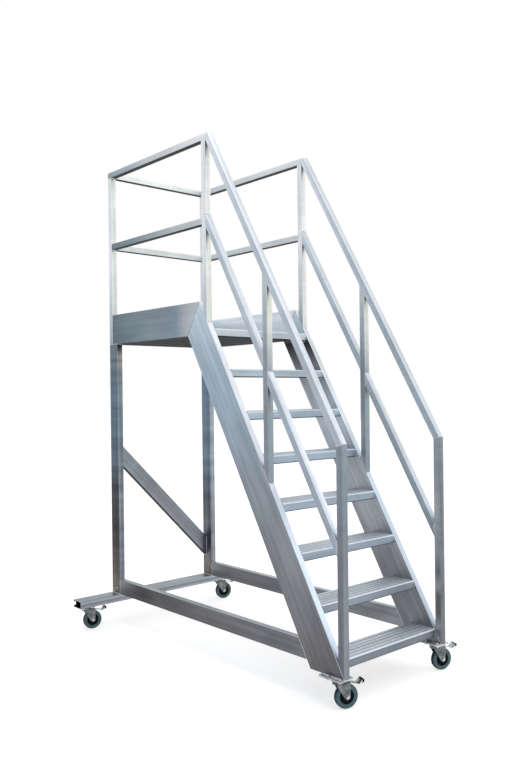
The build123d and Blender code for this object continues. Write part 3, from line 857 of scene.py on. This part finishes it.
# %% [markdown]
# ## Bearings, axle ends and brake pedals
# Between the top plate and the fork sits the ball race in a rolled steel shell. The axle ends in a washer,
# the frame's hexagon nut and a little of its thread. The pedal is pressed from strip, so its edges are
# rounded, and it ends in a black moulded tip. The pedal starts as a copy of the frame's solid: its loose
# triangles are merged, its edges bevelled, and the faces of the tip get the black finish.

# %% Bearings and axle ends
race = [
    (26.0, 134.5), (29.0, 134.5), (30.4, 136.0), (30.8, 139.0), (30.4, 143.0), (29.4, 148.0), (30.6, 151.0),
    (30.6, 152.2), (26.0, 152.2),
]
race_pattern = turned("race_pattern", race, 64, hollow=True)
cup = [(24.0, 133.4), (31.2, 133.4), (31.2, 134.4), (30.2, 134.9), (28.5, 134.2), (24.0, 134.2)]
cup_pattern = turned("cup_pattern", cup, 64, hollow=True)
washer = [(8.0, 22.8), (9.9, 22.8), (10.3, 23.2), (10.3, 24.2), (9.9, 24.5), (8.0, 24.5)]
washer_pattern = turned("washer_pattern", washer, 32, hollow=True)
thread = [(6.6, 27.6), (6.6, 28.4), (5.9, 29.4), (4.9, 29.4), (4.9, 30.6), (4.3, 31.2)]
thread_pattern = turned("thread_pattern", thread, 24)
for name in caster_names:
    placed(race_pattern, f"race_shell_{name}", [caster_frames[name]], "root", "zinc_steel", zinc)
    placed(cup_pattern, f"race_cup_{name}", [caster_frames[name]], f"swivel_{name}", "zinc_steel", zinc)
    axle_place = caster_frames[name] @ at(trail, 0.0, axle_height)
    ends = [axle_place @ axle_turn, axle_place @ axle_turn.inverted()]
    placed(washer_pattern, f"axle_washers_{name}", ends, f"swivel_{name}", "zinc_steel", bright_zinc)
    placed(thread_pattern, f"axle_ends_{name}", ends, f"swivel_{name}", "zinc_steel", bright_zinc)

# %% Brake pedals
tip_start = 122.6
for name in caster_names:
    node = f"brake_pedal_{name}"
    pedal = bpy.data.objects.new(f"pedal_{name}", frame["nodes"][node].data.copy())
    bpy.context.scene.collection.objects.link(pedal)
    pedal.data.transform(caster_frames[name].inverted())
    pedal.data.materials.clear()
    pedal.data.materials.append(bright_zinc)
    pedal.data.materials.append(nylon)
    bpy.ops.object.select_all(action="DESELECT")
    pedal.select_set(True)
    bpy.context.view_layer.objects.active = pedal
    bpy.ops.object.mode_set(mode="EDIT")
    bpy.ops.mesh.select_all(action="SELECT")
    bpy.ops.mesh.remove_doubles(threshold=merge_distance)
    bpy.ops.mesh.dissolve_limited(angle_limit=math.radians(1.0))
    bpy.ops.mesh.select_all(action="SELECT")
    bpy.ops.mesh.bisect(plane_co=(tip_start * MM, 0.0, 0.0), plane_no=(1.0, 0.0, 0.0))
    bpy.ops.object.mode_set(mode="OBJECT")
    rounding = pedal.modifiers.new("rounded edges", "BEVEL")
    rounding.width = 0.9 * MM
    rounding.segments = 2
    rounding.limit_method = "ANGLE"
    bpy.ops.object.modifier_apply(modifier=rounding.name)
    for face in pedal.data.polygons:
        face.material_index = 1 if face.center.x > tip_start * MM else 0
    bpy.ops.object.shade_smooth_by_angle(angle=smooth_angle)
    pedal.data.transform(caster_frames[name])
    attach(pedal, f"swivel_{name}")
    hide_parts(node)
print("a pedal has", len(pedal.data.polygons), "faces")

# %% [markdown]
# ## Bolts
# Each top plate is held by four hexagon bolts with their heads below, a washer under each head, and a
# washer and nut above the foot plate or inside the beam. A hexagon is only a turned piece with six
# segments. Its upper rim is drawn in a little, as the forging leaves it.

# %% Bolts
head_pattern = turned("head_pattern", [(7.3, -1.6), (7.3, -6.2), (6.5, -6.9)], 6)
nut_pattern = turned("nut_pattern", [(7.3, 1.6), (7.3, 7.4), (6.6, 8.0)], 6)
bolt_washer_pattern = turned("bolt_washer_pattern", [(8.2, 0.0), (8.2, 1.3), (7.8, 1.6)], 28)
shank_pattern = turned("shank_pattern", [(4.0, 0.0), (4.0, 10.4), (3.4, 11.0)], 20)
over = Matrix.Rotation(math.pi, 4, "X")
plate_bottom = 152.0
hole_long = 40.0
hole_short = 32.0
grips = {"front": 11.0, "rear": 7.0}
head_places = []
nut_places = []
for name in caster_names:
    kingpin = Vector(joints[f"swivel_{name}"]["pos_m"]) / MM
    front = name.startswith("front")
    reach_x, reach_y = (hole_short, hole_long) if front else (hole_long, hole_short)
    for sign_x in (-1, 1):
        for sign_y in (-1, 1):
            x = kingpin.x + sign_x * reach_x
            y = kingpin.y + sign_y * reach_y
            head_places.append(at(x, y, plate_bottom))
            nut_places.append(at(x, y, plate_bottom + grips["front" if front else "rear"]))
placed(head_pattern, "bolt_heads", head_places, "root", "zinc_steel", bright_zinc)
placed(nut_pattern, "bolt_nuts", nut_places, "root", "zinc_steel", bright_zinc)
washer_places = nut_places + [place @ over for place in head_places]
placed(bolt_washer_pattern, "bolt_washers", washer_places, "root", "zinc_steel", bright_zinc)
placed(shank_pattern, "bolt_ends", nut_places, "root", "zinc_steel", bright_zinc)
print(len(head_places), "bolts")

# %% [markdown]
# ## Weld beads
# The stairs are welded all over, so every joint has a bead: a row of small overlapping ripples. One bead is
# a thin bar of eight sides, turned with every second ring swollen. A bead of each needed length is made
# once and copied from seam to seam. In a corner the bar lies on the corner's line, and half of it is inside
# the metal. Between faces that are level with each other it lies deeper, so that only a flat ridge stands
# out.

# %% Weld tools
ripple = 3.6
bead_places = {}


def bead_pattern(count, radius):
    """A bead of some ripples, standing on Z and centred on the origin."""
    tip = radius * 0.45
    waist = radius * 0.80
    start = -count * ripple / 2
    rings = [(tip, start)]
    for k in range(count):
        rings.append((radius, start + (k + 0.5) * ripple))
        rings.append((waist, start + (k + 1) * ripple))
    rings[-1] = (tip, -start)
    return turned(f"bead_{count}", rings, 8)


def weld(start, end, radius):
    """Notes a bead between two points in millimetres."""
    run = Vector(end) - Vector(start)
    count = max(3, round(run.length / ripple))
    key = (count, radius)
    turn = run.to_track_quat("Z", "Y").to_matrix().to_4x4()
    stretch = Matrix.Diagonal((1.0, 1.0, run.length / (count * ripple), 1.0))
    place = at(*((Vector(start) + Vector(end)) / 2)) @ turn @ stretch
    bead_places.setdefault(key, []).append(place)


def box_mm(node):
    """A node's lowest and highest corners in millimetres."""
    low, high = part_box(node)
    return low / MM, high / MM


sunk = 1.2
corner = 3.0
ridge = 2.2
wide = 4.2


def side_joint(start, end, corners=(True, True)):
    """Welds round a joint of both side frames, along a line between two pairs of Y and Z."""
    for side in ("left", "right"):
        low, high = box_mm(f"stringer_{side}")
        for x in (low.x + sunk, high.x - sunk):
            weld((x, *start), (x, *end), ridge)
        for wanted, (y, z) in zip(corners, (start, end)):
            if wanted:
                weld((low.x + 2.0, y, z), (high.x - 2.0, y, z), corner)


# %% Joints of the side frames
stringer_low = box_mm("stringer_left")[0]
toe_y, toe_z = stringer_low.y, stringer_low.z
slope = math.tan(climb_angle)
post_low, post_high = box_mm("guard_post_front_left")
rear_low, rear_high = box_mm("guard_post_rear_left")
mid_low, mid_high = box_mm("stair_post_mid_left")
low_low, low_high = box_mm("stair_post_low_left")
rail_low, rail_high = box_mm("top_rail_left")
mid_rail_low, mid_rail_high = box_mm("mid_rail_left")
board_low, board_high = box_mm("side_board_left")
leg_low, leg_high = box_mm("rear_leg_left")
base_low, base_high = box_mm("base_rail_left")
tube = post_high.y - post_low.y
run = tube / math.cos(climb_angle)


def edge_height(y):
    """Height of the stringers' sloping front edge."""
    return toe_z + (y - toe_y) * slope


side_joint((mid_rail_high.y, mid_rail_high.z), (mid_rail_high.y, mid_rail_low.z))
side_joint((mid_rail_low.y, mid_rail_high.z), (mid_rail_low.y, mid_rail_low.z))
side_joint((rear_low.y, rail_low.z), (rear_high.y - 2.0, rail_low.z), (True, False))
side_joint((post_low.y, rail_low.z), (post_high.y, rail_low.z), (False, True))
side_joint((rail_low.y, rail_high.z - 1.5), (post_low.y, rail_low.z), (False, False))
side_joint((low_low.y + 1.0, low_high.z - 2.0), (low_high.y, low_high.z - run + tube * slope), (False, True))
for node in ("slope_rail_upper_left", "slope_rail_lower_left"):
    low, high = box_mm(node)
    side_joint((high.y, high.z), (high.y, high.z - run))
    side_joint((low.y, low.z + run), (low.y, low.z))
side_joint((mid_low.y, mid_high.z - tube * slope), (mid_high.y, mid_high.z))
post_feet = [
    (post_low, post_high, (True, True)),
    (mid_low, mid_high, (True, True)),
    (low_low, low_high, (False, True)),
]
for low, high, corners in post_feet:
    side_joint((low.y, edge_height(low.y)), (high.y, edge_height(high.y)), corners)
side_joint((rear_low.y, board_high.z), (rear_low.y, board_low.z), (True, False))
side_joint((leg_low.y, board_low.z), (rear_high.y - 2.0, board_low.z), (True, False))
side_joint((base_high.y, base_high.z), (base_high.y, base_low.z), (True, False))
side_joint((base_low.y + (base_high.z - base_low.z) / slope, base_high.z), (base_low.y, base_low.z))

# %% Joints across the stairs
clear_left = box_mm("tread_1")[0].x
clear_right = box_mm("tread_1")[1].x
for side, inner in (("left", clear_left), ("right", clear_right)):
    # Legs on the beam, and stringers on the foot plates
    low, high = box_mm(f"rear_leg_{side}")
    for x in (low.x, high.x):
        weld((x, low.y + 3.0, low.z), (x, high.y - 3.0, low.z), corner)
    plate_low, plate_high = box_mm(f"foot_plate_{side}")
    low, high = box_mm(f"stringer_{side}")
    for x in (low.x, high.x):
        weld((x, plate_low.y + 4.0, low.z), (x, plate_high.y - 2.0, low.z), corner)
    # Rear rails and the rear board between the sides
    for rail in ("top_rail_rear", "mid_rail_rear"):
        low, high = box_mm(rail)
        weld((inner, low.y, low.z + 2.0), (inner, low.y, high.z - 2.0), corner)
        weld((inner, low.y + 2.0, low.z), (inner, high.y - 3.0, low.z), corner)
    low, high = box_mm("rear_board")
    deck_high = box_mm("platform_deck")[1]
    weld((inner, low.y, deck_high.z), (inner, low.y, high.z - 2.0), corner)
    # Treads: under the nose and along the top at the ends
    for number in range(1, tread_count + 1):
        low, high = box_mm(f"tread_{number}")
        weld((inner, low.y + 3.0, low.z), (inner, low.y + 36.0, low.z), corner)
        weld((inner, low.y + 40.0, high.z - 3.0), (inner, high.y - 2.0, high.z - 3.0), corner)
        weld((inner, low.y + 1.5, low.z + 3.0), (inner, low.y + 1.5, low.z + 25.0), wide)
    low, high = box_mm("platform_nosing")
    weld((inner, low.y + 4.0, low.z), (inner, high.y, low.z), corner)
# Brace between the legs: upright seams in front, and the corners above and below it
brace_low, brace_high = box_mm("rear_brace")
brace_upright = brace_high.z - brace_low.z - (brace_high.x - brace_low.x)
for x, top in ((brace_low.x, brace_high.z), (brace_high.x, brace_low.z + brace_upright)):
    weld((x, brace_low.y, top), (x, brace_low.y, top - brace_upright), corner)
    weld((x, brace_low.y + 2.0, top), (x, brace_high.y - 3.0, top), corner)
    weld((x, brace_low.y + 2.0, top - brace_upright), (x, brace_high.y - 3.0, top - brace_upright), corner)

# %% Beads
bead_groups = []
for (count, radius), places in bead_places.items():
    pattern = bead_pattern(count, radius)
    bead_groups.append(placed(pattern, "weld_group", places, "root", "aluminium", weld_metal))
    bpy.data.objects.remove(pattern)
bpy.ops.object.select_all(action="DESELECT")
for group in bead_groups:
    group.select_set(True)
bpy.context.view_layer.objects.active = bead_groups[0]
bpy.ops.object.join()
weld_beads = bpy.context.active_object
weld_beads.name = "weld_beads"
print(sum(len(p) for p in bead_places.values()), "beads with", len(weld_beads.data.polygons), "faces")

# %% [markdown]
# ## Small parts of the frame
# The level top rails end in black plugs at the rear: cubes drawn to the tube's inside, with rounded edges.
# The mitre between stringer and side board is ground flush, and a fine dark line is all that shows of it. A
# rivet with a low round head sits on the left leg's outer face. The rear beam is an extrusion with a web
# inside, which parts the nut's channel behind the slot from the rest. It is a thin wall as long as the
# beam.

# %% Plugs
def boxed(name, size, rounding, segments):
    """A block of a size in millimetres about the origin, with rounded edges."""
    bpy.ops.object.select_all(action="DESELECT")
    bpy.ops.mesh.primitive_cube_add(size=MM, location=(0.0, 0.0, 0.0))
    piece = bpy.context.active_object
    piece.name = name
    bpy.ops.object.mode_set(mode="EDIT")
    bpy.ops.mesh.select_all(action="SELECT")
    bpy.ops.transform.resize(value=size)
    bpy.ops.mesh.bevel(offset=rounding * MM, segments=segments, affect="EDGES")
    bpy.ops.object.mode_set(mode="OBJECT")
    bpy.ops.object.shade_smooth_by_angle(angle=smooth_angle)
    return piece


plug_pattern = boxed("plug_pattern", (35.8, 18.0, 35.8), 1.6, 3)
plug_places = []
for side in ("left", "right"):
    low, high = box_mm(f"top_rail_{side}")
    plug_places.append(at((low.x + high.x) / 2, high.y - 10.0, (low.z + high.z) / 2))
placed(plug_pattern, "rail_plugs", plug_places, "root", "black_nylon", nylon)

# %% Mitre seams
mitre_top = Vector((0.0, board_low.y, board_high.z - 1.5))
mitre_reach = (board_high.z - board_low.z) * math.tan(climb_angle / 2)
mitre_foot = Vector((0.0, board_low.y + mitre_reach, board_low.z + 1.5))
mitre = mitre_foot - mitre_top
seam_pattern = turned("seam_pattern", [(1.3, -mitre.length / 2), (1.3, mitre.length / 2)], 6)
seam_turn = mitre.to_track_quat("Z", "Y").to_matrix().to_4x4()
seam_places = []
for side in ("left", "right"):
    low, high = box_mm(f"stringer_{side}")
    for x in (low.x + 0.5, high.x - 0.5):
        middle_of_mitre = (mitre_top + mitre_foot) / 2
        seam_places.append(at(x, middle_of_mitre.y, middle_of_mitre.z) @ seam_turn)
placed(seam_pattern, "mitre_seams", seam_places, "root", "aluminium", seam_metal)

# %% Rivet and beam web
rivet_height = 242.0
rivet_ahead = 12.0
rivet_pattern = turned("rivet_pattern", [(6.0, 0.0), (5.7, 1.1), (4.4, 2.1), (2.2, 2.7)], 20)
rivet_turn = Matrix.Rotation(math.radians(-90.0), 4, "Y")
rivet_place = at(leg_low.x, (leg_low.y + leg_high.y) / 2 - rivet_ahead, rivet_height) @ rivet_turn
placed(rivet_pattern, "leg_rivet", [rivet_place], "root", "zinc_steel", bright_zinc)

web_depth = 29.0
web_thickness = 2.0
inner_low, inner_high = box_mm("rear_beam")
wall = beam_wall / MM
web_size = (inner_high.x - inner_low.x - 2.0, web_thickness, inner_high.z - inner_low.z - 2 * wall)
web_pattern = boxed("web_pattern", web_size, 0.2, 1)
web_place = at((inner_low.x + inner_high.x) / 2, inner_high.y - web_depth, (inner_low.z + inner_high.z) / 2)
placed(web_pattern, "beam_web", [web_place], "root", "aluminium", mill["mill_beam"])

# %% Clear away the patterns
for pattern in (
    tyre_pattern, centre_pattern, rib_pattern, race_pattern, cup_pattern, washer_pattern, thread_pattern,
    head_pattern, nut_pattern, bolt_washer_pattern, shank_pattern, plug_pattern, seam_pattern, rivet_pattern,
    web_pattern,
):
    bpy.data.objects.remove(pattern)
